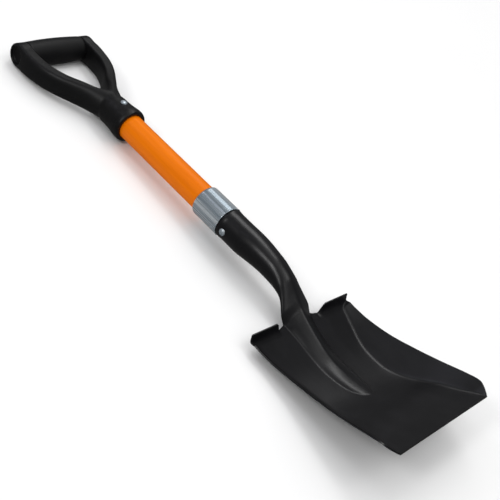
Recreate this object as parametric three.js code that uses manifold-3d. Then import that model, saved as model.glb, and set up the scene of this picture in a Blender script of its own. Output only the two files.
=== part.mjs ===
// A short D-handle square-mouth shovel: pressed steel blade, fibreglass shaft and moulded grip.
// Millimetres. X is the width, Y runs from the lip of the blade to the grip, Z is up.
// The shovel lies on its back, so the heel of the blade and the grip bar touch z = 0.
// Every piece is drawn in the shaft's own frame: Y along the shaft's axis, the open face of
// the blade towards +Z. The last group tips that frame to the way the shovel lies.
import * as THREE from "three";
import { mergeVertices } from "three/addons/utils/BufferGeometryUtils.js";
import Module from "manifold-3d";

const wasm = await Module();
wasm.setup();

// ---------------------------------------------------------------- driving dimensions
const FIT = 0.3; // gap kept between two pieces that touch

const SHAFT_R = 15.875; // 1 1/4 inch fibreglass tube
const SHAFT_BORE_R = 12.4;
const SHAFT_LOW = -52;
const SHAFT_HIGH = 215;
const PLUG_R = SHAFT_BORE_R - FIT;

const STEEL = 1.6; // blade sheet
const SOCKET_R = 18; // socket tube below the ferrule
const SOCKET_NECK_R = 17.4; // socket tube inside the ferrule
const SOCKET_BEAD_R = 18.5;
const SOCKET_TOP = 18;
const SOCKET_BORE_R = SHAFT_R + FIT;

const FERRULE_R = 18.7;
const FERRULE_LOW = -19;
const FERRULE_HIGH = 21.6;
const FERRULE_LIP = 1.8;

const LIP_Y = -341.6;
const SHOULDER_Y = -152;
const TREAD_Z = -17.5; // top edge of the turned foot treads
const TREAD_OUTER = 76.5;
const TREAD_INNER = 36;
const WALL_SLOPE = THREE.MathUtils.degToRad(42);
const FILLET = 4; // crease between the pan and a side wall, measured along each face

const RIVET_Y = -29.6; // blade rivet, across the socket
const GRIP_RIVET_Y = 184.5; // grip rivet, front to back through the neck
const SHANK_R = 2.5;

const BAR_Y = 327; // axis of the grip bar
const BAR_R = 16.5; // at mid length
const BAR_END_R = 15;
const BAR_HALF = 40;
const EYE_R = 15;
const EYE_OUT = 54.5;
const ROD_R = 6;
const ROD_HALF = 49.5;
const CAP_R = 11;
const CAP_SEAT = 50.2;
const CAP_THICK = 2.6;

const MOUTH_Y = 161.8;
const ARM_HEIGHT = 28;
const CROTCH_Y = 222;

// ---------------------------------------------------------------- materials
const blackPaint = new THREE.MeshStandardMaterial({
  name: "black_paint", color: 0x1b1b1c, roughness: 0.38, metalness: 0.15,
});
const zincSteel = new THREE.MeshStandardMaterial({
  name: "zinc_steel", color: 0x9fa8ae, roughness: 0.32, metalness: 0.9,
});
const orangeGlassFibre = new THREE.MeshStandardMaterial({
  name: "orange_fibreglass", color: 0xe8750c, roughness: 0.42, metalness: 0,
});
const blackPlastic = new THREE.MeshStandardMaterial({
  name: "black_plastic", color: 0x17171a, roughness: 0.5, metalness: 0,
});
const capPlastic = new THREE.MeshStandardMaterial({
  name: "cap_plastic", color: 0x101012, roughness: 0.6, metalness: 0,
});
const ashWood = new THREE.MeshStandardMaterial({
  name: "ash_wood", color: 0xc9a574, roughness: 0.75, metalness: 0,
});
const rodSteel = new THREE.MeshStandardMaterial({
  name: "rod_steel", color: 0x85888c, roughness: 0.4, metalness: 0.9,
});

// ---------------------------------------------------------------- solids
function solid(geometry) {
  const bare = new THREE.BufferGeometry();
  bare.setAttribute("position", geometry.getAttribute("position"));
  bare.setIndex(geometry.index);
  const merged = mergeVertices(bare, 1e-4);
  return new wasm.Manifold(new wasm.Mesh({
    numProp: 3,
    vertProperties: new Float32Array(merged.attributes.position.array),
    triVerts: new Uint32Array(merged.index.array),
  }));
}

function geometryOf(manifold) {
  const mesh = manifold.getMesh();
  const geometry = new THREE.BufferGeometry();
  geometry.setAttribute("position", new THREE.BufferAttribute(mesh.vertProperties, 3));
  geometry.setIndex(new THREE.BufferAttribute(mesh.triVerts, 1));
  geometry.computeVertexNormals();
  return geometry;
}

function part(name, geometry, material) {
  const mesh = new THREE.Mesh(geometry, material);
  mesh.name = name;
  return mesh;
}

// A cylinder along Y between two stations.
function rodY(radius, low, high, sides = 40) {
  return new THREE.CylinderGeometry(radius, radius, high - low, sides)
    .translate(0, (low + high) / 2, 0);
}

// A cylinder along X between two stations, at height y along the shaft.
function rodX(radius, low, high, y, sides = 32) {
  return new THREE.CylinderGeometry(radius, radius, high - low, sides)
    .rotateZ(-Math.PI / 2)
    .translate((low + high) / 2, y, 0);
}

// A cylinder along Z through the shaft's axis.
function rodZ(radius, half, y, sides = 24) {
  return new THREE.CylinderGeometry(radius, radius, 2 * half, sides)
    .rotateX(Math.PI / 2)
    .translate(0, y, 0);
}

// A turned piece about Y from a profile of [radius, height] pairs.
function turned(profile, sides = 40) {
  return new THREE.LatheGeometry(profile.map(([r, y]) => new THREE.Vector2(r, y)), sides);
}

// A tube of changing section along Y. stations run from low to high and each one gives
// { y, z, wide, up, down, ridge }: z is the level of the widest line, up and down are the
// heights above and below it, and ridge turns the top from an ellipse (0) to a ridge (1).
function loft(stations, sides = 32) {
  const rows = stations.length - 1;
  const geometry = new THREE.CylinderGeometry(1, 1, 1, sides, rows);
  const position = geometry.getAttribute("position");
  for (let i = 0; i < position.count; i++) {
    const station = stations[Math.round((position.getY(i) + 0.5) * rows)];
    const across = position.getX(i);
    const along = position.getZ(i);
    const radius = Math.hypot(across, along);
    const top = THREE.MathUtils.lerp(along, radius - Math.abs(across), station.ridge ?? 0);
    const rise = along > 0 ? station.up * top : station.down * along;
    position.setXYZ(i, station.wide * across, station.y, station.z + rise);
  }
  return geometry;
}

// A closed sheet: point(u, v) gives a THREE.Vector3 of its middle surface for whole
// numbers u in 0..columns and v in 0..rows, and the sheet is thickness thick about it.
function sheet(point, columns, rows, thickness) {
  const normal = (u, v) => {
    const du = point(Math.min(u + 1, columns), v).sub(point(Math.max(u - 1, 0), v));
    const dv = point(u, Math.min(v + 1, rows)).sub(point(u, Math.max(v - 1, 0)));
    return du.cross(dv).normalize();
  };
  const geometry = new THREE.BoxGeometry(1, 1, 1, columns, rows, 1);
  const position = geometry.getAttribute("position");
  for (let i = 0; i < position.count; i++) {
    const u = Math.round((position.getX(i) + 0.5) * columns);
    const v = Math.round((position.getY(i) + 0.5) * rows);
    const side = Math.sign(position.getZ(i));
    const moved = point(u, v).addScaledVector(normal(u, v), (side * thickness) / 2);
    position.setXYZ(i, moved.x, moved.y, moved.z);
  }
  return geometry;
}

// A smooth curve through [y, value] knots, in order of y.
function profile(knots) {
  const slope = knots.map((knot, i) => {
    const before = knots[Math.max(i - 1, 0)];
    const after = knots[Math.min(i + 1, knots.length - 1)];
    return (after[1] - before[1]) / (after[0] - before[0]);
  });
  return (y) => {
    let i = 0;
    while (i < knots.length - 2 && y > knots[i + 1][0]) i++;
    const [y0, a] = knots[i];
    const [y1, b] = knots[i + 1];
    const h = y1 - y0;
    const t = THREE.MathUtils.clamp((y - y0) / h, 0, 1);
    const rise = (3 - 2 * t) * t * t;
    const lean = t * (1 - t) * h * ((1 - t) * slope[i] - t * slope[i + 1]);
    return a + (b - a) * rise + lean;
  };
}

// ---------------------------------------------------------------- blade
// Level of the dished pan, and the top edge of a side wall: half width and level.
const panZ = profile([
  [LIP_Y, 11.4], [-320, -0.5], [-298, -11.8], [-279, -23], [-261, -31.6], [-245, -36.8],
  [-229, -39.3], [-210, -40.3], [-194, -39.1], [-176, -35.8], [-160, -32],
]);
const wallX = profile([
  [LIP_Y, 75.2], [-338, 77.5], [-332, 80.8], [-324, 83.4], [-310, 84.1], [-280, 82.8],
  [-250, 80.7], [-220, 78.3], [-190, 77.8], [SHOULDER_Y, 78],
]);
const wallZ = profile([
  [LIP_Y, 11.9], [-338, 12.6], [-332, 13.6], [-324, 13.8], [-310, 9.5], [-280, -1.6],
  [-250, -11.2], [-220, -19], [-190, -24.1], [-170, -25], [SHOULDER_Y, -24],
]);

const PAN_ROWS = [
  LIP_Y, -338, -332, -324, -314, -302, -290, -278, -266, -254, -242, -230, -218, -206,
  -194, -182, -171, -160,
];
const PAN_COLUMNS = [0, 14, 25, 31, TREAD_INNER + 3]; // flat columns out from the middle
// The foot tread turns up towards the open face over the last rows: [y, level].
const TREAD_ROWS = [[-156.4, -29.4], [-153.9, -25.6], [-152.7, -21.4], [SHOULDER_Y, TREAD_Z]];
// Between the treads the sheet just stops, level with the bottom of the turn.
const GAP_ROWS = [[-156.6, -31.1], [-155, -30.7], [-153.5, -30.3], [SHOULDER_Y, -29.9]];

function panPoint(column, row) {
  const count = PAN_COLUMNS.length;
  const k = Math.abs(column - (count + 3));
  const hand = Math.sign(column - (count + 3));
  const turn = row - PAN_ROWS.length;
  const y = turn < 0 ? PAN_ROWS[row] : TREAD_ROWS[turn][0];
  const rowY = Math.min(y, -160);
  const floor = panZ(rowY);
  const topX = wallX(y);
  const topZ = wallZ(rowY);
  const run = Math.max((topZ - floor) / Math.tan(WALL_SLOPE), 0.8);
  const crease = topX - run;
  const small = Math.min(FILLET, run * 0.45);
  let x;
  let z = floor;
  if (k < count) {
    x = PAN_COLUMNS[k];
  } else if (k === count) {
    x = crease - small;
  } else if (k === count + 1) {
    x = crease + small * 0.5;
    z = floor + (topZ - floor) * (small / run) * 0.36;
  } else if (k === count + 2) {
    x = crease + run * 0.55;
    z = floor + (topZ - floor) * 0.55;
  } else {
    x = topX;
    z = topZ;
  }
  if (turn >= 0) {
    const reach = THREE.MathUtils.smoothstep(x, TREAD_INNER - 8, TREAD_INNER + 3);
    const [treadY, treadZ] = TREAD_ROWS[turn];
    const [gapY, gapZ] = GAP_ROWS[turn];
    const level = THREE.MathUtils.lerp(gapZ, treadZ, reach);
    const blend = (turn + 1) / TREAD_ROWS.length;
    x = Math.min(x, THREE.MathUtils.lerp(x, TREAD_OUTER - (count + 3 - k) * 1.4, blend));
    return new THREE.Vector3(
      hand * x,
      THREE.MathUtils.lerp(gapY, treadY, reach),
      Math.max(level, THREE.MathUtils.lerp(z, level, blend)),
    );
  }
  return new THREE.Vector3(hand * x, y, z);
}

// The frog is the hollow ridge that carries the neck into the pan: [y, half width, height].
const FROG = [
  [-259, 2, 0.1], [-254, 8.5, 0.8], [-247, 12, 1.6], [-238, 14.2, 2.4], [-225, 15.2, 3.2],
  [-210, 15.4, 4.4], [-196, 15.3, 6.4], [-183, 15.8, 8.9], [-170, 16.6, 10.9],
  [-160, 18, 12.3], [-153, 20, 13.8], [-147, 21.4, 16.8],
];
// The neck is round in the socket and flattens as it bends down to the shoulder:
// [y, level, half width, half height, ridge].
const NECK = [
  [-140, -19.4, 20, 8.4, 0.4], [-133, -12.4, 16.6, 8.6, 0.25], [-127, -8.3, 15.6, 10, 0.12],
  [-120, -4.7, 15, 11.6, 0], [-110, -1.9, 14.4, 13.3, 0], [-100, -0.1, 14.7, 14.6, 0],
  [-90, 0.9, 15.2, 15.2, 0], [-80, 1.4, 16, 16, 0], [-70, 1.3, 16.9, 16.9, 0],
  [-60, 0.8, 17.6, 17.6, 0], [-53, 0.2, SOCKET_R, SOCKET_R, 0],
];

function neckStations(inset, depth) {
  const frog = FROG.filter(([, , height]) => height > inset / 2)
    .map(([y, half, height]) => ({
      y,
      z: panZ(Math.min(y, -160)) + Math.max(0, y + 160) * 0.28 - STEEL / 2,
      wide: half - inset,
      up: height + STEEL - inset,
      down: depth,
      ridge: 0.8,
    }));
  const neck = NECK.map(([y, z, wide, half, ridge]) => ({
    y, z, wide: wide - inset, up: half - inset, down: half - inset, ridge,
  }));
  return [...frog, ...neck];
}

function round(y, r) {
  return { y, z: 0, wide: r, up: r, down: r };
}

function bladeGeometry() {
  const columns = 2 * (PAN_COLUMNS.length + 3);
  const rows = PAN_ROWS.length + TREAD_ROWS.length - 1;
  const pan = solid(sheet(panPoint, columns, rows, STEEL));
  const outside = solid(loft([
    ...neckStations(0, 0.4),
    round(-26, SOCKET_R), round(-24.6, SOCKET_BEAD_R), round(-20.6, SOCKET_BEAD_R),
    round(FERRULE_LOW - FIT, SOCKET_NECK_R), round(SOCKET_TOP, SOCKET_NECK_R),
  ]));
  const inside = solid(loft([...neckStations(STEEL, 4.5), round(-40, SOCKET_BORE_R)]));
  const bore = solid(rodY(SOCKET_BORE_R, SHAFT_LOW - FIT, SOCKET_TOP + 5));
  const hole = solid(rodX(SHANK_R + FIT, -30, 30, RIVET_Y, 20));
  return geometryOf(pan.add(outside).subtract(inside).subtract(bore).subtract(hole));
}

// ---------------------------------------------------------------- shaft, ferrule, plugs
function shaftGeometry() {
  const tube = solid(rodY(SHAFT_R, SHAFT_LOW, SHAFT_HIGH, 48));
  const bore = solid(rodY(SHAFT_BORE_R, SHAFT_LOW - 1, SHAFT_HIGH + 1));
  const low = solid(rodX(SHANK_R + FIT, -30, 30, RIVET_Y, 20));
  const high = solid(rodZ(SHANK_R + FIT, 30, GRIP_RIVET_Y, 20));
  return geometryOf(tube.subtract(bore).subtract(low).subtract(high));
}

function plugGeometry(low, high, hole) {
  const dowel = turned([
    [0, low], [PLUG_R - 1, low], [PLUG_R, low + 1], [PLUG_R, high - 1], [PLUG_R - 1, high],
    [0, high],
  ]);
  return geometryOf(solid(dowel).subtract(solid(hole)));
}

function ferruleGeometry() {
  const inner = SOCKET_NECK_R + FIT;
  const lip = SHAFT_R + FIT;
  return turned([
    [inner, FERRULE_LOW], [FERRULE_R - 0.4, FERRULE_LOW], [FERRULE_R, FERRULE_LOW + 0.4],
    [FERRULE_R, FERRULE_HIGH - 2], [FERRULE_R - 0.7, FERRULE_HIGH - 0.6],
    [FERRULE_R - 1.6, FERRULE_HIGH], [lip, FERRULE_HIGH], [lip, FERRULE_HIGH - FERRULE_LIP],
    [inner, FERRULE_HIGH - FERRULE_LIP - 0.5], [inner, FERRULE_LOW],
  ], 48);
}

// ---------------------------------------------------------------- rivets
// Domed head up, formed tail down, drawn about Y; reach is the outer face of each side.
function rivetGeometry(reach, headR, headHigh, tailR, tailHigh) {
  const head = reach + FIT;
  return turned([
    [0, -head - tailHigh], [tailR * 0.6, -head - tailHigh * 0.8], [tailR, -head - tailHigh * 0.2],
    [tailR, -head], [SHANK_R, -head], [SHANK_R, head], [headR, head],
    [headR, head + headHigh * 0.2], [headR * 0.8, head + headHigh * 0.65],
    [headR * 0.45, head + headHigh * 0.93], [0, head + headHigh],
  ], 24);
}

// ---------------------------------------------------------------- grip
// Outer and inner edges of one arm of the yoke, from the neck up to the eye: [x, y].
const ARM_OUT = [
  [18, 204], [24.5, 223], [34.5, 240], [44.8, 257], [52.2, 275], [56.2, 296], [57, 312],
  [EYE_OUT, BAR_Y],
];
const ARM_IN = [
  [BAR_HALF + FIT, BAR_Y], [BAR_HALF + FIT, 308], [37, 283], [29.5, 263], [19, 246],
  [8.5, 229], [0, CROTCH_Y],
];
// The neck spreads and thins as it runs into the arms: [y, half width, half height].
const NECK_SPREAD = [
  [210, 20.2, 18.9], [218, 22.6, 18.2], [227, 26, 17.1], [237, 31.5, 15.8], [247, 37.2, 14.4],
  [254, 40, 12],
];

function armPlate() {
  const mirror = ([x, y]) => new THREE.Vector2(-x, y);
  const direct = ([x, y]) => new THREE.Vector2(x, y);
  const outline = new THREE.Shape();
  outline.moveTo(EYE_OUT, BAR_Y);
  outline.lineTo(BAR_HALF + FIT, BAR_Y);
  outline.splineThru(ARM_IN.slice(1).map(direct));
  outline.splineThru(ARM_IN.slice(0, -1).reverse().map(mirror));
  outline.lineTo(-EYE_OUT, BAR_Y);
  outline.splineThru(ARM_OUT.slice(0, -1).reverse().map(mirror));
  outline.lineTo(...ARM_OUT[0]);
  outline.splineThru(ARM_OUT.slice(1).map(direct));
  const round = 5;
  return new THREE.ExtrudeGeometry(outline, {
    depth: ARM_HEIGHT - 2 * round, curveSegments: 2,
    bevelThickness: round, bevelSize: round, bevelOffset: -round, bevelSegments: 3,
  }).translate(0, 0, round - ARM_HEIGHT / 2);
}

// The space between the arms, cut front to back.
function handSpace() {
  const half = ARM_IN.map(([x, y]) => new THREE.Vector2(x, y));
  const other = ARM_IN.slice(0, -1).reverse().map(([x, y]) => new THREE.Vector2(-x, y));
  return new THREE.ExtrudeGeometry(new THREE.Shape([...half, ...other]), {
    depth: 60, bevelEnabled: false,
  }).translate(0, 0, -30);
}

function yokeGeometry() {
  const neck = solid(loft([
    round(MOUTH_Y, 19.9), round(MOUTH_Y + 1.4, 21.2), round(MOUTH_Y + 4, 21.6),
    round(172, 21.5), round(176, 20.4), round(180, 19.3), round(186, 19.2), round(200, 19.2),
    ...NECK_SPREAD.map(([y, wide, half]) => ({ y, z: 0, wide, up: half, down: half })),
  ], 40));
  let yoke = solid(armPlate()).add(neck.subtract(solid(handSpace())));
  for (const hand of [-1, 1]) {
    const ends = [BAR_HALF + FIT, EYE_OUT].map((x) => hand * x).sort((a, b) => a - b);
    yoke = yoke.add(solid(rodX(EYE_R, ends[0], ends[1], BAR_Y, 40)));
    const seat = [CAP_SEAT, EYE_OUT + 5].map((x) => hand * x).sort((a, b) => a - b);
    yoke = yoke.subtract(solid(rodX(CAP_R, seat[0], seat[1], BAR_Y, 32)));
  }
  const bar = solid(rodX(BAR_R + FIT, -BAR_HALF - FIT, BAR_HALF + FIT, BAR_Y, 48));
  const rod = solid(rodX(ROD_R + FIT, -60, 60, BAR_Y, 24));
  const bore = solid(rodY(SHAFT_R + FIT, MOUTH_Y - 5, SHAFT_HIGH + FIT, 48));
  const hole = solid(rodZ(SHANK_R + FIT, 30, GRIP_RIVET_Y, 20));
  return geometryOf(yoke.subtract(bar).subtract(rod).subtract(bore).subtract(hole));
}

// Barrel-shaped hand bar, about Y until it is turned across the grip.
function barGeometry() {
  const steps = 8;
  const outer = [];
  for (let i = 0; i <= steps; i++) {
    const t = (2 * i) / steps - 1;
    outer.push([BAR_R - (BAR_R - BAR_END_R) * t * t, t * BAR_HALF]);
  }
  const inner = ROD_R + FIT;
  return turned([[inner, -BAR_HALF], ...outer, [inner, BAR_HALF], [inner, -BAR_HALF]], 48);
}

function capGeometry() {
  const r = CAP_R - FIT;
  return turned([
    [0, 0], [r, 0], [r, CAP_THICK - 0.4], [r - 0.4, CAP_THICK], [r - 1.6, CAP_THICK],
    [r - 2.4, CAP_THICK - 1], [0, CAP_THICK - 1.4],
  ], 32);
}

// ---------------------------------------------------------------- assembly
const shovel = new THREE.Group();

shovel.add(part("blade", bladeGeometry(), blackPaint));
shovel.add(part("ferrule", ferruleGeometry(), zincSteel));
shovel.add(part("shaft_tube", shaftGeometry(), orangeGlassFibre));
shovel.add(part(
  "lower_core_plug",
  plugGeometry(SHAFT_LOW + 0.5, SHAFT_LOW + 52, rodX(SHANK_R + FIT, -20, 20, RIVET_Y, 20)),
  ashWood,
));
shovel.add(part(
  "upper_core_plug",
  plugGeometry(SHAFT_HIGH - 52, SHAFT_HIGH - 0.5, rodZ(SHANK_R + FIT, 20, GRIP_RIVET_Y, 20)),
  ashWood,
));

const bladeRivet = part("blade_rivet", rivetGeometry(SOCKET_R, 4.1, 2.8, 3.8, 2), zincSteel);
bladeRivet.position.y = RIVET_Y;
bladeRivet.rotation.z = Math.PI / 2; // head on the -X side
shovel.add(bladeRivet);

const gripRivet = part("grip_rivet", rivetGeometry(19.5, 4.2, 2.2, 3.8, 1.6), zincSteel);
gripRivet.position.y = GRIP_RIVET_Y;
gripRivet.rotation.x = Math.PI / 2; // head on the open-face side
shovel.add(gripRivet);

const grip = new THREE.Group();
grip.add(part("grip_yoke", yokeGeometry(), blackPlastic));

const crossbar = new THREE.Group();
crossbar.position.y = BAR_Y;
crossbar.rotation.z = -Math.PI / 2;
crossbar.add(part("grip_bar", barGeometry(), blackPlastic));
crossbar.add(part("grip_core_rod", rodY(ROD_R, -ROD_HALF, ROD_HALF, 24), rodSteel));
const rightCap = part("end_cap_right", capGeometry(), capPlastic);
rightCap.position.y = CAP_SEAT + FIT;
crossbar.add(rightCap);
const leftCap = part("end_cap_left", capGeometry(), capPlastic);
leftCap.position.y = -CAP_SEAT - FIT;
leftCap.rotation.x = Math.PI;
crossbar.add(leftCap);
grip.add(crossbar);
shovel.add(grip);

// The shovel rests on the heel of the blade and on the grip bar. The frame's origin is
// under the middle of the shovel, on the surface that it lies on.
const HEEL = new THREE.Vector2(-208, panZ(-208) - STEEL / 2);
const REST_TILT = Math.atan2(-HEEL.y - BAR_R, BAR_Y - HEEL.x);
shovel.rotation.x = -REST_TILT;

const root = new THREE.Group();
root.name = "d_handle_shovel";
root.add(shovel);
root.updateMatrixWorld(true);
const box = new THREE.Box3().setFromObject(root, true);
shovel.position.set(0, -(box.min.y + box.max.y) / 2, -box.min.z);

export default root;
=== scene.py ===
"""A short D-handle square-mouth shovel that lies on its back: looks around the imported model.

Shapes are drawn in millimetres in the shaft's own frame: X is the width, Y runs along the
shaft's axis towards the grip and Z points out of the open face of the blade. PLACE puts that
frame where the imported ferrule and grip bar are.
"""
import math

import bpy
import numpy as np
from mathutils import Matrix, Vector


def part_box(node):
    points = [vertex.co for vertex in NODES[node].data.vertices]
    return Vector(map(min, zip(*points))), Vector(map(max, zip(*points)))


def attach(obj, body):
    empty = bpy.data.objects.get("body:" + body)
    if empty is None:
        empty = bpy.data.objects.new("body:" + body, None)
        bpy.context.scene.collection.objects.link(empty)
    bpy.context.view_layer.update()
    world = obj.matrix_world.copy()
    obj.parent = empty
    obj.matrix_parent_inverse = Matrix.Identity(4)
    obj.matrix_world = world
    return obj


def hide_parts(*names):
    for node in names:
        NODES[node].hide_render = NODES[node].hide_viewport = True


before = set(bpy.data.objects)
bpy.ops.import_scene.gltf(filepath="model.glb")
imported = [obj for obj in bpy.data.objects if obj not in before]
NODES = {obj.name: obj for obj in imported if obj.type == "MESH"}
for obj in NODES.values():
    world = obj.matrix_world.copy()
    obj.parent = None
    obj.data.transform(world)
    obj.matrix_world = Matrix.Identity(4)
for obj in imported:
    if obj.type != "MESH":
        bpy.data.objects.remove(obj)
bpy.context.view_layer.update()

MM = 0.001
FERRULE_MID_Y = 1.3  # middle of the ferrule along the shaft
STEEL = 1.6  # thickness of the blade's sheet
EDGE_BEVEL = 0.55
SEAM_GAP = 0.02  # points of the tube's seam that are closer than this are one point
SOCKET_R = 18.0
SOCKET_NECK_R = 17.4
LIP_Y = -341.6
SHOULDER_Y = -152.0
HEEL_Y = -160.0  # last row of the dished pan, before the treads turn up
TREAD_OUTER = 76.5
BAR_Y = 327.0
NECK_MOUTH_Y = 161.8
GRIP_RIVET_Y = 184.5
BLADE_RIVET_Y = -29.6
SHAFT_R = 15.875
SHAFT_BORE_R = 12.4
SHAFT_LOW_Y = -52.0
SHAFT_HIGH_Y = 215.0
RIVET_SHANK_R = 2.5
BAR_R = 16.5  # at mid length
BAR_END_R = 15.0
BAR_HALF = 40.0
ROD_BORE_R = 6.3
ARM_INSIDE_X = 40.3  # inner face of each arm, where the hand bar meets it
ARM_OUTSIDE_X = 54.5
GRIP_BORE_R = 16.175
GRIP_BORE_END = 215.3
CAP_SEAT_R = 11.0
CAP_SEAT_X = 50.2


# ---------------------------------------------------------------- placing
def middle(node):
    low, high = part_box(node)
    return (low + high) / 2


def placement():
    along = (middle("grip_bar") - middle("ferrule")).normalized()
    across = Vector((1, 0, 0))
    up = across.cross(along)
    place = Matrix((across, along, up)).transposed().to_4x4()
    place.translation = middle("ferrule") - along * FERRULE_MID_Y * MM
    return place


PLACE = placement()


def finish_mesh(obj):
    """Replaces the object's mesh by the one that its modifiers make."""
    bpy.context.view_layer.update()
    depsgraph = bpy.context.evaluated_depsgraph_get()
    done = bpy.data.meshes.new_from_object(obj.evaluated_get(depsgraph))
    obj.modifiers.clear()
    obj.data = done


def piece(name, points, faces, material, nodes, sharp=40, prepare=None):
    """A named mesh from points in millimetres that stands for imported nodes."""
    mesh = bpy.data.meshes.new(name)
    points = np.asarray(points, float) * MM
    mesh.from_pydata(points.tolist(), [], [list(map(int, f)) for f in faces])
    mesh.validate()
    obj = bpy.data.objects.new(name, mesh)
    bpy.context.scene.collection.objects.link(obj)
    if prepare:
        prepare(obj)
        finish_mesh(obj)
    mesh = obj.data
    mesh.materials.clear()
    mesh.materials.append(material)
    mesh.shade_smooth()
    mesh.set_sharp_from_angle(angle=math.radians(sharp))
    obj.matrix_world = PLACE
    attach(obj, "root")
    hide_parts(*nodes)


# ---------------------------------------------------------------- curves
def smoothstep(x, low, high):
    t = np.clip((np.asarray(x, float) - low) / (high - low), 0, 1)
    return t * t * (3 - 2 * t)


def mix(a, b, t):
    return a + (b - a) * t


def curve(knots):
    """A smooth function through [position, value] knots."""
    at, value = np.array(knots, float).T
    slope = np.empty_like(value)
    for i in range(len(at)):
        before, after = max(i - 1, 0), min(i + 1, len(at) - 1)
        slope[i] = (value[after] - value[before]) / (at[after] - at[before])

    def evaluate(y):
        y = np.clip(np.asarray(y, float), at[0], at[-1])
        i = np.clip(np.searchsorted(at, y, side="right") - 1, 0, len(at) - 2)
        h = at[i + 1] - at[i]
        t = (y - at[i]) / h
        rise = (3 - 2 * t) * t * t
        lean = t * (1 - t) * h * ((1 - t) * slope[i] - t * slope[i + 1])
        return value[i] + (value[i + 1] - value[i]) * rise + lean

    return evaluate


def spline(points, count):
    """count points evenly spread on a smooth path through the given points."""
    points = np.array(points, float)
    step = np.hypot(*np.diff(points, axis=0).T)
    at = np.concatenate([[0], np.cumsum(step)])
    where = np.linspace(0, at[-1], count)
    return np.stack([curve(np.stack([at, p], 1))(where) for p in points.T], 1)


def rounded(profile, radius, steps=5):
    """A closed profile with each corner turned into an arc, radius long on each side."""
    profile = np.array(profile, float)
    out = []
    for i, corner in enumerate(profile):
        before, after = profile[i - 1], profile[(i + 1) % len(profile)]
        a, b = before - corner, after - corner
        la, lb = np.hypot(*a), np.hypot(*b)
        reach = min(radius, la * 0.45, lb * 0.45)
        p, q = corner + a / la * reach, corner + b / lb * reach
        for t in np.linspace(0, 1, steps):
            out.append((1 - t) ** 2 * p + 2 * t * (1 - t) * corner + t * t * q)
    return np.array(out)


def lathe(profile, sides, closed=True):
    """A turned mesh about Y from [radius, y] points; the ends of an open profile are on
    the axis."""
    profile = np.array(profile, float)
    angle = np.arange(sides) * 2 * math.pi / sides
    ring = [
        np.stack([r * np.sin(angle), np.full(sides, y), r * np.cos(angle)], 1)
        for r, y in profile
    ]
    count = len(profile)
    faces = []
    for i in range(count if closed else count - 1):
        a, b = i * sides, ((i + 1) % count) * sides
        for j in range(sides):
            k = (j + 1) % sides
            faces.append((a + j, a + k, b + k, b + j))
    points = np.concatenate(ring)
    if not closed:
        first, last = len(points), len(points) + 1
        ends = [[0, profile[0][1], 0], [0, profile[-1][1], 0]]
        points = np.concatenate([points, ends])
        top = (count - 1) * sides
        for j in range(sides):
            k = (j + 1) % sides
            faces.append((first, k, j))
            faces.append((last, top + j, top + k))
    return points, faces


def turned_to(points, axis, y, sign=1):
    """Points of a lathe about Y, moved so that its axis lies along X or Z at height y."""
    x0, y0, z0 = points.T
    if axis == "x":
        return np.stack([sign * y0, y - sign * x0, z0], 1)
    return np.stack([x0, y - sign * z0, sign * y0], 1)


# ---------------------------------------------------------------- materials
def material(name, colour, roughness, metallic=0.0, **sockets):
    made = bpy.data.materials.new(name)
    made.use_nodes = True
    shader = made.node_tree.nodes["Principled BSDF"]
    shader.inputs["Base Color"].default_value = (*colour, 1)
    shader.inputs["Roughness"].default_value = roughness
    shader.inputs["Metallic"].default_value = metallic
    for key, value in sockets.items():
        shader.inputs[key.replace("_", " ")].default_value = value
    return made, made.node_tree, shader


def node(tree, kind, **inputs):
    made = tree.nodes.new(kind)
    for key, value in inputs.items():
        made.inputs[key.replace("_", " ")].default_value = value
    return made


def noise(tree, scale, detail, roughness=0.55, stretch=(1, 1, 1)):
    """Noise in object space; stretch makes it finer along an axis than along the others."""
    where = tree.nodes.new("ShaderNodeTexCoord")
    mapping = tree.nodes.new("ShaderNodeMapping")
    mapping.inputs["Scale"].default_value = stretch
    tree.links.new(where.outputs["Object"], mapping.inputs["Vector"])
    made = node(tree, "ShaderNodeTexNoise", Scale=scale, Detail=detail, Roughness=roughness)
    tree.links.new(mapping.outputs["Vector"], made.inputs["Vector"])
    return made.outputs["Fac"]


def spread(tree, value, low, high, from_low=0.3, from_high=0.7):
    """value, which mostly lies between from_low and from_high, spread from low to high."""
    made = tree.nodes.new("ShaderNodeMapRange")
    made.inputs["From Min"].default_value = from_low
    made.inputs["From Max"].default_value = from_high
    made.inputs["To Min"].default_value = low
    made.inputs["To Max"].default_value = high
    tree.links.new(value, made.inputs["Value"])
    return made.outputs["Result"]


def ramp(tree, value, stops):
    made = tree.nodes.new("ShaderNodeValToRGB")
    band = made.color_ramp
    while len(band.elements) < len(stops):
        band.elements.new(0.5)
    for element, (at, colour) in zip(band.elements, stops):
        element.position = at
        element.color = (*colour, 1)
    tree.links.new(value, made.inputs["Fac"])
    return made.outputs["Color"]


def blended(tree, a, b, factor):
    made = tree.nodes.new("ShaderNodeMix")
    made.data_type = "RGBA"
    tree.links.new(factor, made.inputs[0])
    for socket, value in ((made.inputs[6], a), (made.inputs[7], b)):
        if isinstance(value, tuple):
            socket.default_value = (*value, 1)
        else:
            tree.links.new(value, socket)
    return made.outputs[2]


def bump(tree, shader, heights):
    """heights are (value, strength, distance in metres), from coarse to fine."""
    normal = None
    for value, strength, distance in heights:
        made = tree.nodes.new("ShaderNodeBump")
        made.inputs["Strength"].default_value = strength
        made.inputs["Distance"].default_value = distance
        tree.links.new(value, made.inputs["Height"])
        if normal:
            tree.links.new(normal, made.inputs["Normal"])
        normal = made.outputs["Normal"]
    tree.links.new(normal, shader.inputs["Normal"])


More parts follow.
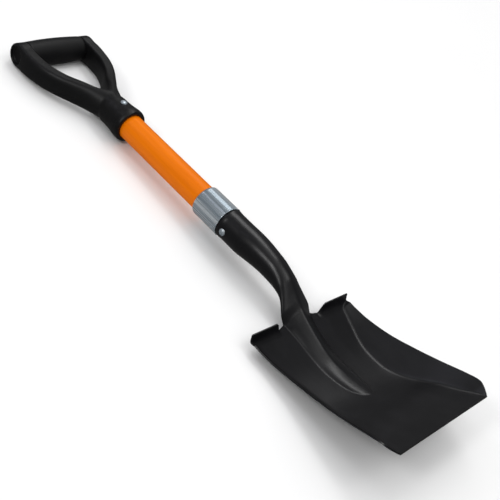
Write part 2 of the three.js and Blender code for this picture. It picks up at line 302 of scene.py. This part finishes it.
def black_paint():
    made, tree, shader = material(
        "black_paint", (0.004, 0.004, 0.005), 0.3, Specular_IOR_Level=0.5,
    )
    link = tree.links.new
    cloud = noise(tree, 38, 5)
    peel = noise(tree, 620, 2, 0.5)
    scuff = noise(tree, 60, 9, 0.7, (1, 0.12, 1))
    base = ramp(tree, cloud, [(0.3, (0.0026, 0.0026, 0.0034)), (0.75, (0.0050, 0.0050, 0.0061))])
    dusty = blended(tree, base, (0.014, 0.014, 0.016), spread(tree, scuff, 0, 0.25, 0.5, 0.75))
    link(dusty, shader.inputs["Base Color"])
    link(spread(tree, scuff, 0.30, 0.35), shader.inputs["Roughness"])
    bump(tree, shader, [(cloud, 0.10, 0.0012), (peel, 0.09, 0.00020)])
    return made


def orange_fibreglass():
    made, tree, shader = material(
        "orange_fibreglass", (0.86, 0.190, 0.001), 0.42, Specular_IOR_Level=0.09,
        Coat_Weight=0.02, Coat_Roughness=0.2,
    )
    strands = noise(tree, 210, 5, 0.6, (1, 0.035, 1))
    fine = noise(tree, 900, 3, 0.5, (1, 0.05, 1))
    cloud = noise(tree, 24, 3)
    streaks = ramp(tree, strands, [
        (0.30, (0.71, 0.150, 0.0002)), (0.5, (0.79, 0.176, 0.0002)), (0.70, (0.86, 0.204, 0.0004)),
    ])
    toned = blended(tree, streaks, (0.75, 0.158, 0.0002), spread(tree, cloud, 0, 0.45))
    tree.links.new(toned, shader.inputs["Base Color"])
    tree.links.new(spread(tree, fine, 0.30, 0.44), shader.inputs["Roughness"])
    bump(tree, shader, [(strands, 0.14, 0.0004), (fine, 0.10, 0.00012)])
    return made


def zinc_steel(name):
    along = (1, 0.02, 1)
    made, tree, shader = material(name, (0.45, 0.51, 0.56), 0.3, 0.64)
    brushed = noise(tree, 700, 5, 0.6, along)
    reflection_streak_noise = noise(tree, 150, 5, 0.65, along)
    spangle = tree.nodes.new("ShaderNodeTexVoronoi")
    spangle.inputs["Scale"].default_value = 160
    # The lengthwise light and dark streaks in the base colour are painted reflection. They stand
    # in for the surroundings that the metal would mirror, laid over the zinc's own uneven tone.
    tone = ramp(tree, reflection_streak_noise, [
        (0.32, (0.17, 0.22, 0.26)), (0.5, (0.38, 0.44, 0.49)), (0.68, (0.84, 0.90, 0.94)),
    ])
    cells = blended(tree, tone, (0.47, 0.53, 0.58),
                    spread(tree, spangle.outputs["Distance"], 0, 0.25, 0, 1))
    tree.links.new(cells, shader.inputs["Base Color"])
    tree.links.new(spread(tree, brushed, 0.20, 0.34), shader.inputs["Roughness"])
    bump(tree, shader, [(reflection_streak_noise, 0.12, 0.0003), (brushed, 0.16, 0.00012)])
    return made


def moulded_plastic(name, dark, light, low, high, polish, grain=0.22):
    made, tree, shader = material(name, dark, low, Specular_IOR_Level=0.33)
    cloud = noise(tree, 45, 4)
    cells = node(tree, "ShaderNodeTexVoronoi", Scale=1500)
    fine = noise(tree, 1300, 3, 0.6)
    tree.links.new(ramp(tree, cloud, [(0.3, dark), (0.75, light)]), shader.inputs["Base Color"])
    edge = spread(tree, tree.nodes.new("ShaderNodeNewGeometry").outputs["Pointiness"],
                  0, 1, 0.505, 0.53)
    rough = tree.nodes.new("ShaderNodeMix")
    tree.links.new(edge, rough.inputs[0])
    tree.links.new(spread(tree, cloud, low, high), rough.inputs[2])
    rough.inputs[3].default_value = polish
    tree.links.new(rough.outputs[0], shader.inputs["Roughness"])
    bump(tree, shader, [
        (cloud, 0.08, 0.001), (cells.outputs["Distance"], grain, 0.00010),
        (fine, grain, 0.00012),
    ])
    return made


def hidden_wood():
    made, tree, shader = material("ash_wood", (0.58, 0.38, 0.18), 0.7)
    grain = noise(tree, 160, 6, 0.6, (1, 0.06, 1))
    tone = ramp(tree, grain, [(0.3, (0.42, 0.25, 0.11)), (0.7, (0.66, 0.45, 0.24))])
    tree.links.new(tone, shader.inputs["Base Color"])
    tree.links.new(spread(tree, grain, 0.62, 0.8), shader.inputs["Roughness"])
    bump(tree, shader, [(grain, 0.3, 0.0003)])
    return made


def floor_white():
    made, tree, shader = material("studio_floor", (0.9, 0.9, 0.9), 0.85, Specular_IOR_Level=0.1)
    tone = ramp(tree, noise(tree, 3, 3), [(0.3, (0.89, 0.89, 0.89)), (0.7, (0.91, 0.91, 0.91))])
    tree.links.new(tone, shader.inputs["Base Color"])
    return made


PAINT = black_paint()
FIBREGLASS = orange_fibreglass()
ZINC = zinc_steel("zinc_steel")
GRIP_PLASTIC = moulded_plastic(
    "black_plastic", (0.0035, 0.0035, 0.0038), (0.0055, 0.0055, 0.0060), 0.40, 0.48, 0.26)
BAR_PLASTIC = moulded_plastic(
    "bar_plastic", (0.0036, 0.0036, 0.0040), (0.0060, 0.0060, 0.0064), 0.52, 0.60, 0.45, 0.35)
CAP_PLASTIC = moulded_plastic(
    "cap_plastic", (0.0022, 0.0022, 0.0025), (0.0036, 0.0036, 0.0040), 0.42, 0.52, 0.4)
ROD_STEEL = zinc_steel("rod_steel")

# ---------------------------------------------------------------- blade
pan_z = curve([
    [LIP_Y, 11.4], [-320, -0.5], [-298, -11.8], [-279, -23], [-261, -31.6], [-245, -36.8],
    [-229, -39.3], [-210, -40.3], [-194, -39.1], [-176, -35.8], [HEEL_Y, -32],
])
wall_x = curve([
    [LIP_Y, 75.4], [-338, 78.3], [-332, 82.0], [-327, 84.1], [-318, 84.6], [-280, 82.8],
    [-250, 80.7], [-220, 78.3], [-190, 77.8], [SHOULDER_Y, 78],
])
wall_z = curve([
    [LIP_Y, 11.9], [-338, 12.6], [-332, 13.6], [-324, 13.8], [-310, 9.5], [-280, -1.6],
    [-250, -11.2], [-220, -19], [-190, -24.1], [-170, -25], [SHOULDER_Y, -24],
])
# The frog: half width at the pan, and height of its crest above the pan. It runs on into the
# neck's strip, past the end of the pan.
frog_half = curve([
    [-262.5, 1.5], [-261, 4.2], [-257.5, 7.6], [-251, 10.8], [-242, 13], [-232, 14.4],
    [-221, 15.2], [-208, 15.6], [-196, 15.7], [-183, 16], [-170, 16.8], [-160, 18.2], [-153, 20],
    [-147, 21], [-140, 20.5],
])
frog_high = curve([
    [-264, 0], [-261, 0.5], [-256, 1.6], [-250, 2.4], [-242, 3.1], [-232, 3.8], [-222, 4.5],
    [-210, 5.5], [-196, 7.1], [-183, 9], [-170, 10.9], [-160, 12.6], [-153, 14.2],
    [-147, 16.2], [-140, 19.6],
])
SOCKET_BEGIN_Y = -40.0
# Tube sections of the neck: [y, level of the widest line, half width, up, down, ridge].
NECK = np.array([
    [-152, -27.5, 21.6, 12.2, 2.2, 0.78], [-146, -23.7, 22.4, 12.4, 5.0, 0.74],
    [-140, -18.9, 20.6, 11.7, 8.4, 0.66], [-133, -12.6, 17.7, 10.3, 8.7, 0.52],
    [-127, -8.3, 15.8, 10.5, 10, 0.36], [-120, -4.7, 15, 11.7, 11.6, 0.2],
    [-110, -1.9, 14.4, 13.3, 13.3, 0.06], [-100, -0.1, 14.7, 14.6, 14.6, 0],
    [-90, 0.9, 15.2, 15.2, 15.2, 0], [-80, 1.4, 16, 16, 16, 0],
    [-70, 1.3, 16.9, 16.9, 16.9, 0], [-60, 0.8, 17.6, 17.6, 17.6, 0],
    [-53, 0.2, SOCKET_R, SOCKET_R, SOCKET_R, 0], [-47, 0, SOCKET_R, SOCKET_R, SOCKET_R, 0],
    [SOCKET_BEGIN_Y, 0, SOCKET_R, SOCKET_R, SOCKET_R, 0],
])
neck_level, neck_wide, neck_up, neck_down, neck_ridge = (
    curve(NECK[:, [0, i]]) for i in range(1, 6)
)
# Foot treads turn up towards the open face; between them the sheet just stops.
TREAD = spline([
    [HEEL_Y, -32], [-156.4, -29.4], [-153.9, -25.6], [-152.7, -21.4], [SHOULDER_Y, -17.5],
], 13)[1:]
GAP_END_Z = -29.9
GAP = spline([[HEEL_Y, -32], [-156.6, -31.1], [-155, -30.7], [SHOULDER_Y, GAP_END_Z]], 13)[1:]
# The socket above the neck: [y, outer radius], with the bead under the ferrule.
SOCKET = [
    [-37, 18], [-34, 18], [-31, 18], [-28, 18], [-26, 18.05], [-25, 18.15], [-24, 18.27],
    [-23, 18.36], [-22, 18.4], [-21, 18.36], [-20.4, 18.22], [-19.8, 17.9], [-19.4, 17.5],
    [-18, SOCKET_NECK_R], [-10, SOCKET_NECK_R], [4, SOCKET_NECK_R], [17.5, SOCKET_NECK_R],
]

STRIP = 34  # columns from the middle out to the edge of the neck's strip of sheet
STRIP_X = 31.0
FLAT = [33, 35, 37, 39]  # the next columns of the pan
FLAT_REST = 8  # columns from there to the crease
BEND = 7
WALL = 5
WALL_SLOPE = math.radians(42)
FILLET = 4.0  # the crease's rounding, along the pan and up the wall
HALF_COLUMNS = STRIP + len(FLAT) + FLAT_REST + BEND + WALL
CREST_SOFT = 0.1
NECK_SOFT = 0.13
FROG_ROOT = 1.3  # how widely the frog's foot blends into the pan
TREAD_IN_X = 39.5  # from here out the tread has its full height
TREAD_STEP = 0.42  # space between its outer columns, which are squeezed in
NOTCH_END_Y = SHOULDER_Y + 2.2
NOTCH_X = 25.5
EDGE_X = 21.0
EDGE_END_Y = -143.0
TUBE_BEGIN_Y = -140.5  # the neck is a closed tube from here up
SIDE_X = 20.0  # half width of the strip's middle, which becomes the tube's upper half
SIDE_SHARE = 0.6  # its share of the columns


def smooth_max(a, b, width):
    h = np.clip(0.5 + 0.5 * (a - b) / width, 0, 1)
    return mix(b, a, h) + width * h * (1 - h)


def smooth_min(a, b, width):
    return -smooth_max(-a, -b, width)


def crest(q, soft):
    """1 on the middle line and 0 at q = 1, with straight flanks and a rounded top."""
    return 1 - (np.sqrt(q * q + soft * soft) - soft) / (math.sqrt(1 + soft * soft) - soft)


def frog_rise(x, y):
    """Height of the frog above the pan: full near its tip, two flanks and a crest at its heel."""
    q = np.abs(x) / frog_half(y)
    full = 1 - np.abs(q) ** 4
    keen = mix(0.22, 0.8, smoothstep(y, -244, -198))
    rise = frog_high(y) * mix(full, crest(q, CREST_SOFT), keen)
    width = np.minimum(FROG_ROOT, 0.34 * frog_high(y) + 0.05)
    return smooth_max(rise, 0 * rise, width) * (frog_high(y) > 0)


def pan_row(y):
    """Half a cross section of the pan at y, from the middle to the top of the side wall."""
    floor = float(pan_z(min(y, HEEL_Y)))
    top_x, top_z = float(wall_x(y)), float(wall_z(min(y, HEEL_Y)))
    run = max((top_z - floor) / math.tan(WALL_SLOPE), 0.8)
    crease = top_x - run
    small = min(FILLET, run * 0.45)
    slope = math.atan2(top_z - floor, run)
    x = list(np.linspace(0, STRIP_X, STRIP + 1)) + FLAT
    x += list(np.linspace(FLAT[-1], crease - small, FLAT_REST + 1)[1:])
    z = [floor] * len(x)
    for t in np.linspace(0, 1, BEND + 1)[1:]:
        start, end = (1 - t) ** 2, t * t
        x.append(crease - small * start + small * math.cos(slope) * end)
        z.append(floor + small * math.sin(slope) * end)
    bx, bz = x[-1], z[-1]
    for t in np.linspace(0, 1, WALL + 1)[1:]:
        x.append(mix(bx, top_x, t))
        z.append(mix(bz, top_z, t))
    return np.array(x), np.array(z)


def flat_row(y, base_y, turn=None):
    """Half a row of the sheet as [x, y, z]; turn is the row's place in the tread's turn."""
    x, z = pan_row(y)
    if turn is None:
        return np.stack([x, np.full_like(x, y), z + frog_rise(x, y)], 1)
    (tread_y, tread_z), (gap_y, gap_z) = TREAD[turn], GAP[turn]
    reach = smoothstep(x, STRIP_X - 0.5, TREAD_IN_X)
    level = mix(gap_z, tread_z, reach)
    part = (turn + 1) / len(TREAD)
    from_end = HALF_COLUMNS - np.arange(len(x))
    outer = mix(x, TREAD_OUTER - from_end * TREAD_STEP, part)
    x = np.where(np.arange(len(x)) >= STRIP + len(FLAT), np.minimum(x, outer), x)
    z = np.maximum(level, mix(z, level, part))
    return np.stack([x, mix(gap_y, tread_y, reach), z + frog_rise(x, gap_y)], 1)


def tube_row(y):
    """Half a row of the neck's strip rolled into a tube."""
    s = np.linspace(0, 1, STRIP + 1)
    angle = math.pi * np.where(s < SIDE_SHARE, s / 1.2, 0.5 + (s - SIDE_SHARE) * 1.25)
    across, along = np.sin(angle), np.cos(angle)
    top = mix(along, crest(across, NECK_SOFT), neck_ridge(y))
    half = STEEL / 2
    rise = np.where(along > 0, (neck_up(y) - half) * top, (neck_down(y) - half) * along)
    x = (neck_wide(y) - half) * across
    x[-1] = 0
    return np.stack([x, np.full_like(x, y), neck_level(y) + rise], 1)


def neck_row(y):
    """Half a row between the notch and the closed tube: the strip's edges roll under."""
    tube = tube_row(y)
    t = float(smoothstep(y, SHOULDER_Y, TUBE_BEGIN_Y))
    if t >= 1:
        return tube
    notch = smoothstep(y, SHOULDER_Y, NOTCH_END_Y)
    edge = mix(mix(STRIP_X, NOTCH_X, notch ** 0.5), EDGE_X, smoothstep(y, SHOULDER_Y, EDGE_END_Y))
    s = np.linspace(0, 1, STRIP + 1)
    beyond = SIDE_X + (s - SIDE_SHARE) / 0.4 * (edge - SIDE_X)
    x = np.where(s < SIDE_SHARE, s / SIDE_SHARE * SIDE_X, beyond)
    base = GAP_END_Z + (y - SHOULDER_Y) * 0.2
    flat = np.stack([x, np.full_like(x, y), base + frog_rise(x, y)], 1)
    return mix(flat, tube, t)


def mirrored(row):
    return np.concatenate([row[:0:-1] * [-1, 1, 1], row])


def blade():
    ys = list(np.linspace(LIP_Y, -325, 12)) + list(np.arange(-322, -268, 3))
    ys += list(np.linspace(-267, HEEL_Y, 104))
    rows = [mirrored(flat_row(y, y)) for y in ys]
    rows += [mirrored(flat_row(TREAD[i][0], HEEL_Y, i)) for i in range(len(TREAD))]
    wide = 2 * HALF_COLUMNS + 1
    points = list(np.concatenate(rows))
    faces = []
    for r in range(len(rows) - 1):
        for c in range(wide - 1):
            a = r * wide + c
            faces.append((a, a + 1, a + wide + 1, a + wide))
    before = [(len(rows) - 1) * wide + HALF_COLUMNS + i for i in range(-STRIP, STRIP + 1)]
    tube_ys = list(np.arange(-151.8, -148, 0.5)) + list(np.arange(-148, -130, 1.0))
    tube_ys += list(np.arange(-130, -38, 1.8))
    strips = [mirrored(neck_row(y)) for y in tube_ys]
    for y, r in SOCKET:
        row = tube_row(SOCKET_BEGIN_Y)
        row[:, [0, 2]] *= (r - STEEL / 2) / (SOCKET_R - STEEL / 2)
        row[:, 1] = y
        strips.append(mirrored(row))
    for strip in strips:
        now = [len(points) + i for i in range(2 * STRIP + 1)]
        points += list(strip)
        for c in range(2 * STRIP):
            faces.append((before[c], before[c + 1], now[c + 1], now[c]))
        before = now

    def prepare(obj):
        weld = obj.modifiers.new("weld", "WELD")
        weld.merge_threshold = SEAM_GAP * MM
        solid = obj.modifiers.new("sheet", "SOLIDIFY")
        solid.thickness = STEEL * MM
        solid.offset = 0
        solid.bevel_convex = 1.0  # the weight by which the bevel finds the sheet's edges
        bevel = obj.modifiers.new("edges", "BEVEL")
        bevel.limit_method = "WEIGHT"
        bevel.width = EDGE_BEVEL * MM
        bevel.segments = 3

    piece("blade_pressing", points, faces, PAINT, ["blade"], 50, prepare)


# ---------------------------------------------------------------- shaft, ferrule, rivets
def shaft():
    profile = rounded([
        [SHAFT_BORE_R, SHAFT_LOW_Y], [SHAFT_R, SHAFT_LOW_Y], [SHAFT_R, SHAFT_HIGH_Y],
        [SHAFT_BORE_R, SHAFT_HIGH_Y],
    ], 0.5)
    points, faces = lathe(profile, 144)
    piece("fibreglass_shaft", points, faces, FIBREGLASS, ["shaft_tube"])


def ferrule():
    profile = rounded([
        [17.7, -19], [18.95, -19], [18.95, -17.9], [18.7, -17.6], [18.7, 19.6], [18.0, 21.6],
        [16.2, 21.6], [16.2, 19.8], [17.7, 19.3],
    ], 0.9, 6)
    points, faces = lathe(profile, 144)
    piece("zinc_ferrule", points, faces, ZINC, ["ferrule"], 50)


def rivet(name, node_name, reach, head_r, head_high, tail_r, tail_high, axis, y, sign):
    """A domed head with a struck dimple, a shank and a formed tail."""
    face = reach + 0.2
    t = np.linspace(0, 1, 9)
    tail = [[tail_r * math.sin(a), -face - tail_high * math.cos(a)] for a in t * math.pi / 2]
    head = [[head_r * math.cos(a), face + 0.35 + (head_high - 0.35) * math.sin(a)]
            for a in t[:-1] * math.pi / 2]
    head[-1][1] -= 0.12
    profile = [[0.05, -face - tail_high], *tail[1:], [RIVET_SHANK_R, -face],
               [RIVET_SHANK_R, face], [head_r, face],
               *head, [0.05, face + head_high - 0.3]]
    points, faces = lathe(profile, 48, closed=False)
    faces = [tuple(reversed(f)) for f in faces]
    points = turned_to(points, axis, y, sign)
    piece(name, points, faces, ZINC, [node_name], 45)


# ---------------------------------------------------------------- grip
# Outline of the right arm as [x, y]: its outer and its inner side.
ARM_OUT = [
    [18, 204], [24.5, 223], [34.5, 240], [44.8, 257], [52.2, 275], [56.2, 296], [57, 312],
    [ARM_OUTSIDE_X, BAR_Y],
]
ARM_IN = [
    [ARM_INSIDE_X, BAR_Y], [ARM_INSIDE_X, 308], [37, 283], [29.5, 263], [19, 246], [8.5, 229],
    [0, 222],
]
NECK_R = [  # [y, radius]
    [158, 18.8], [161.8, 20.4], [163.4, 21.2], [166, 21.5], [171, 21.4], [176, 20.7],
    [182, 19.9], [190, 19.4], [198, 19.2],
]
# Half depth of the yoke, the rounding of its outer and inner edges, and how square they are.
grip_high = curve(NECK_R + [
    [210, 18.9], [218, 18.2], [227, 17.1], [237, 15.8], [247, 14.6], [258, 14], [290, 14],
    [312, 14.6], [BAR_Y, 15],
])
outer_round = curve(NECK_R + [
    [208, 19.4], [216, 17.6], [226, 14], [238, 10.5], [252, 8], [300, 6.5], [BAR_Y, 6],
])
inner_round = curve([
    [215, 11], [226, 7.5], [236, 4.5], [250, 3], [285, 2.6], [302, 1.8], [312, 1.2], [340, 1.2],
])
grip_power = curve([[205, 2], [240, 2.5], [320, 2.8]])
# The corners of the space in which the yoke's surface is looked for.
YOKE_LOW = np.array([-58.4, 158.4, -23.2])
YOKE_HIGH = np.array([58.4, 344, 23.2])


def distance_to(path, x, y):
    """Distance from each (x, y) to an open path of points."""
    best = np.full(x.shape, 1e9)
    for (ax, ay), (bx, by) in zip(path[:-1], path[1:]):
        dx, dy = bx - ax, by - ay
        t = np.clip(((x - ax) * dx + (y - ay) * dy) / (dx * dx + dy * dy), 0, 1)
        best = np.minimum(best, np.hypot(x - ax - t * dx, y - ay - t * dy))
    return best


def yoke_field(x, y, z):
    """Negative inside the yoke, positive outside, close to a distance near its surface."""
    side = np.abs(x[:, :, :1])
    level = y[:, :, :1]
    neck = [[r, at] for at, r in NECK_R]
    below, beyond = 120, 380  # both sides run on past the ends of the yoke
    throat = ARM_IN[-1][1]
    outer = np.array([[neck[0][0], below]] + neck + list(spline(ARM_OUT, 40))
                     + [[ARM_OUTSIDE_X, beyond]])
    inner = np.array(list(spline(ARM_IN[1:], 36)[::-1]) + [[ARM_INSIDE_X, beyond]])
    out_x = np.interp(level, outer[:, 1], outer[:, 0])
    in_x = np.interp(level, inner[:, 1], inner[:, 0], left=-1)
    depth_out = distance_to(outer, side, level) * np.where(side < out_x, 1, -1)
    in_solid = (side > in_x) | (level < throat)
    depth_in = distance_to(inner, side, level) * np.where(in_solid, 1, -1)
    ro, ri, high = outer_round(level), inner_round(level), grip_high(level)
    power = grip_power(level)
    wo = np.maximum(ro - depth_out, 0) / ro
    wi = np.maximum(ri - depth_in, 0) / ri
    total = wo ** power + wi ** power + (np.abs(z) / high) ** power
    body = (total ** (1 / power) - 1) * np.minimum(high, 12)
    body = smooth_max(body, y - BAR_Y, 1.0)
    body = smooth_max(body, NECK_MOUTH_Y - y, 0.8)
    eye = np.hypot(y - BAR_Y, z) - BAR_END_R
    eye = smooth_max(eye, np.abs(x) - ARM_OUTSIDE_X, 2.4)
    eye = smooth_max(eye, ARM_INSIDE_X - np.abs(x), 0.8)
    both = smooth_min(body, eye, 3.0)
    bore = smooth_max(np.hypot(x, z) - GRIP_BORE_R, y - GRIP_BORE_END, 0.8)
    seat = smooth_max(np.hypot(y - BAR_Y, z) - CAP_SEAT_R, CAP_SEAT_X - np.abs(x), 0.6)
    return smooth_max(smooth_max(both, -bore, 0.8), -seat, 0.8)


def surface_net(field, low, step):
    """A quad mesh of the zero level of a field sampled on a grid."""
    shape = np.array(field.shape)
    total = np.zeros((*(shape - 1), 3))
    count = np.zeros(tuple(shape - 1))
    quads = []
    for axis in range(3):
        a = np.take(field, np.arange(shape[axis] - 1), axis)
        b = np.take(field, np.arange(1, shape[axis]), axis)
        edge = np.argwhere((a < 0) != (b < 0))
        fa, fb = a[tuple(edge.T)], b[tuple(edge.T)]
        crossing = edge.astype(float)
        crossing[:, axis] += fa / (fa - fb)
        u, v = (axis + 1) % 3, (axis + 2) % 3
        around = []
        for du, dv in ((0, 0), (1, 0), (1, 1), (0, 1)):
            cell = edge.copy()
            cell[:, u] -= du
            cell[:, v] -= dv
            np.add.at(total, tuple(cell.T), crossing)
            np.add.at(count, tuple(cell.T), 1)
            around.append(np.ravel_multi_index(cell.T, tuple(shape - 1)))
        quad = np.stack(around, 1)
        quad[fa >= 0] = quad[fa >= 0][:, ::-1]
        quads.append(quad)
    used, index = np.unique(np.concatenate(quads), return_inverse=True)
    points = total.reshape(-1, 3)[used] / count.reshape(-1)[used][:, None]
    return points * step + low, index.reshape(-1, 4)


def yoke():
    step = 0.8
    axes = [np.arange(a, b + step, step) for a, b in zip(YOKE_LOW, YOKE_HIGH)]
    x, y, z = np.meshgrid(*axes, indexing="ij", sparse=True)
    x, y = np.broadcast_arrays(x, y)
    points, faces = surface_net(yoke_field(x, y, z), YOKE_LOW, step)

    def prepare(obj):
        smooth = obj.modifiers.new("even", "SMOOTH")
        smooth.factor = 0.5
        smooth.iterations = 3

    piece("grip_yoke_moulding", points, faces, GRIP_PLASTIC, ["grip_yoke"], 60,
          prepare)


def bar():
    """Barrel-shaped hand bar around the core rod."""
    t = np.linspace(-1, 1, 33)
    outer = [[BAR_R - (BAR_R - BAR_END_R) * v * v, BAR_HALF * v] for v in t]
    outer[0][0] -= 0.5
    outer[-1][0] -= 0.5
    outer.insert(1, [BAR_END_R + 0.05, 0.5 - BAR_HALF])
    outer.insert(-1, [BAR_END_R + 0.05, BAR_HALF - 0.5])
    profile = [[ROD_BORE_R, -BAR_HALF], *outer, [ROD_BORE_R, BAR_HALF]]
    points, faces = lathe(profile, 144)
    piece("grip_hand_bar", turned_to(points, "x", BAR_Y), faces, BAR_PLASTIC, ["grip_bar"],
          50)


def cap(name, node_name, sign):
    """A push-in cap with a raised rim around a shallow dish."""
    t = np.linspace(0, 1, 8)
    dish = [[8.2 * (1 - v) + 0.05, 51.7 - 0.35 * math.sin(v * math.pi / 2)] for v in t]
    profile = [[0.05, 50.5], [10.4, 50.5], [10.7, 50.8], [10.7, 52.7], [10.45, 53.0],
               [10.1, 53.1], [9.3, 53.1], [8.9, 52.9], [8.6, 52.2], *dish]
    points, faces = lathe(profile, 96, closed=False)
    faces = [tuple(reversed(f)) for f in faces]
    points = turned_to(points, "x", BAR_Y, sign)
    piece(name, points, faces, CAP_PLASTIC, [node_name], 45)


# ---------------------------------------------------------------- build
blade()
shaft()
ferrule()
rivet("blade_rivet_head", "blade_rivet", SOCKET_R, 4.1, 2.8, 3.8, 2, "x", BLADE_RIVET_Y, -1)
rivet("grip_rivet_head", "grip_rivet", 19.5, 4.2, 2.2, 3.8, 1.6, "z", GRIP_RIVET_Y, 1)
yoke()
bar()
cap("grip_cap_left", "end_cap_left", -1)
cap("grip_cap_right", "end_cap_right", 1)
for name, finish in (("lower_core_plug", hidden_wood()), ("upper_core_plug", hidden_wood()),
                     ("grip_core_rod", ROD_STEEL)):
    NODES[name].data.materials.clear()
    NODES[name].data.materials.append(finish)

# ---------------------------------------------------------------- studio
FLOOR_HALF = 6.0
WORLD_STRENGTH = 0.12
LIGHT_TARGET = Vector((0, -0.05, 0.02))
LIGHT_DISTANCE = 3.0

scene = bpy.context.scene
scene.view_settings.view_transform = "Standard"

floor_mesh = bpy.data.meshes.new("studio_floor")
corners = [(x * FLOOR_HALF, y * FLOOR_HALF, 0) for x, y in ((-1, -1), (1, -1), (1, 1), (-1, 1))]
floor_mesh.from_pydata(corners, [], [(0, 1, 2, 3)])
floor_mesh.materials.append(floor_white())
floor = bpy.data.objects.new("studio_floor", floor_mesh)
scene.collection.objects.link(floor)
floor.visible_glossy = False  # so that the paint doesn't mirror the floor

world = bpy.data.worlds.new("studio")
scene.world = world
world.use_nodes = True
world.node_tree.nodes["Background"].inputs["Color"].default_value = (1, 1, 1, 1)
world.node_tree.nodes["Background"].inputs["Strength"].default_value = WORLD_STRENGTH


def studio_light(name, azimuth, elevation, half_wide, half_high, radiance, tint=(1, 1, 1),
                 glossy=True):
    """A soft box in a direction given in degrees: azimuth from +X towards +Y, and elevation.
    half_wide and half_high are half the angles that it covers, seen from LIGHT_TARGET."""
    az, el = math.radians(azimuth), math.radians(elevation)
    direction = Vector((math.cos(el) * math.cos(az), math.cos(el) * math.sin(az), math.sin(el)))
    data = bpy.data.lights.new(name, "AREA")
    data.shape = "RECTANGLE"
    data.size = 2 * LIGHT_DISTANCE * math.tan(math.radians(half_wide))
    data.size_y = 2 * LIGHT_DISTANCE * math.tan(math.radians(half_high))
    data.energy = radiance * math.pi * data.size * data.size_y
    data.color = tint
    made = bpy.data.objects.new(name, data)
    made.location = LIGHT_TARGET + direction * LIGHT_DISTANCE
    made.rotation_euler = (-direction).to_track_quat("-Z", "Y").to_euler()
    made.visible_glossy = glossy
    scene.collection.objects.link(made)


studio_light("key", 47, 56, 8, 8, 4.0)
studio_light("frog_side", 38, 69, 6, 4, 4.5)
studio_light("key_skirt", 48, 40, 8, 7, 2.4)
studio_light("neck_strip", -108, 56, 6, 4, 3)
studio_light("left_strip", 173, 41, 5, 6, 16)
studio_light("wall_side", 109, 41, 4, 6, 4.0, tint=(0.86, 0.86, 1.0))
studio_light("top_right", -58, 66, 9, 8, 2.8)
studio_light("overhead", 0, 89, 18, 18, 0.6)
studio_light("floor_fill", 0, 88, 63, 63, 0.70, glossy=False)

# The camera: its place and axes in the shaft's frame, in millimetres.
CAMERA_AT = Vector((-709.5, -499.3, 608.6))
CAMERA_RIGHT = Vector((0.6877, -0.6449, 0.3333))
CAMERA_FORWARD = Vector((0.6847, 0.4237, -0.593))
camera_data = bpy.data.cameras.new("camera")
camera_data.sensor_width = 36
camera_data.lens = 68.36
camera_data.clip_start = 0.05
camera_data.clip_end = 50
camera = bpy.data.objects.new("camera", camera_data)
scene.collection.objects.link(camera)
forward = CAMERA_FORWARD.normalized()
right = (CAMERA_RIGHT - forward * CAMERA_RIGHT.dot(forward)).normalized()
up = right.cross(forward)
camera_pose = Matrix((right, up, -forward)).transposed().to_4x4()
camera_pose.translation = CAMERA_AT * MM
camera.matrix_world = PLACE @ camera_pose
scene.camera = camera
